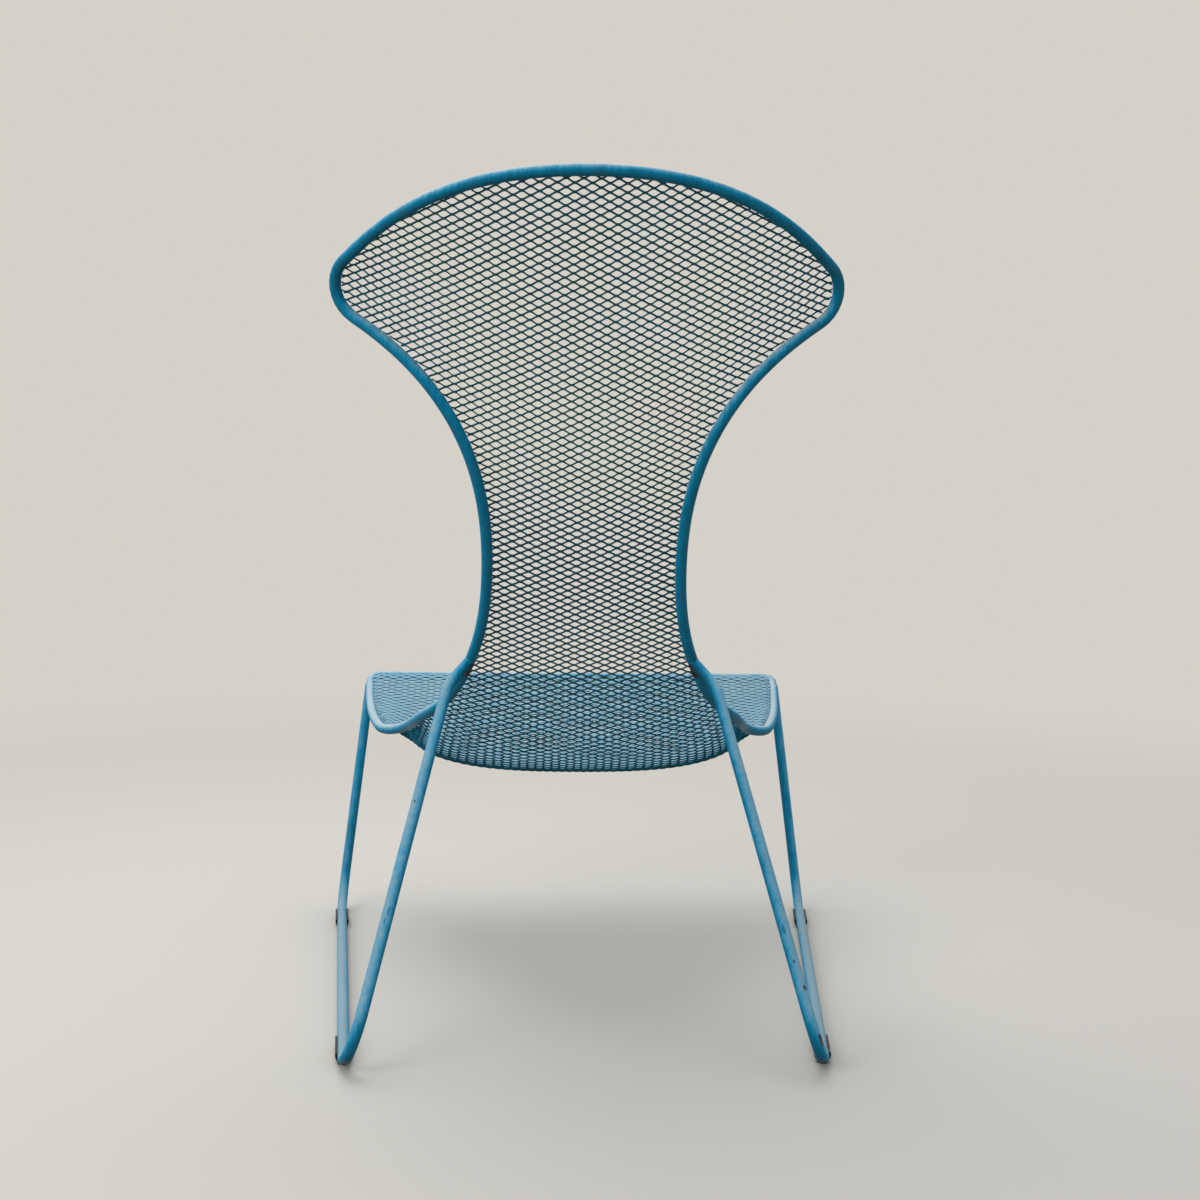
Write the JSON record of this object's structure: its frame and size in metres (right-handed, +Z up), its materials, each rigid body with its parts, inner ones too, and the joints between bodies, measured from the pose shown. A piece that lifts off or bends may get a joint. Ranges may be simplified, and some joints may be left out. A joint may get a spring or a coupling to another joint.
{
  "type": "lounge chair",
  "caption": "High-back lounge chair of worn blue painted steel: an hourglass expanded-metal shell on a bent rim tube, carried by tubular sled sides on plastic glides.",
  "frame": {"origin": "middle of the bounding box, on the floor under the glides", "axes": "+X to the sitter's left, +Y to the back of the chair, +Z up"},
  "size_m": [0.8104, 0.9192, 1.1585],
  "materials": {
    "rim_paint": "faded blue paint, bleached on top, chipped and rusted at the welds",
    "mesh_paint": "faded blue paint on expanded metal, darker behind",
    "sled_paint": "faded blue paint, chalky on top, scratched and chipped at the feet",
    "glide_plastic": "dull black, dusty"
  },
  "bodies": {
    "root": {"rim_tube": "rim_paint", "mesh_shell": "mesh_paint", "sled_left": "sled_paint", "sled_right": "sled_paint", "glide_rear_left": "glide_plastic", "glide_front_left": "glide_plastic", "glide_rear_right": "glide_plastic", "glide_front_right": "glide_plastic"}
  },
  "joints": []
}
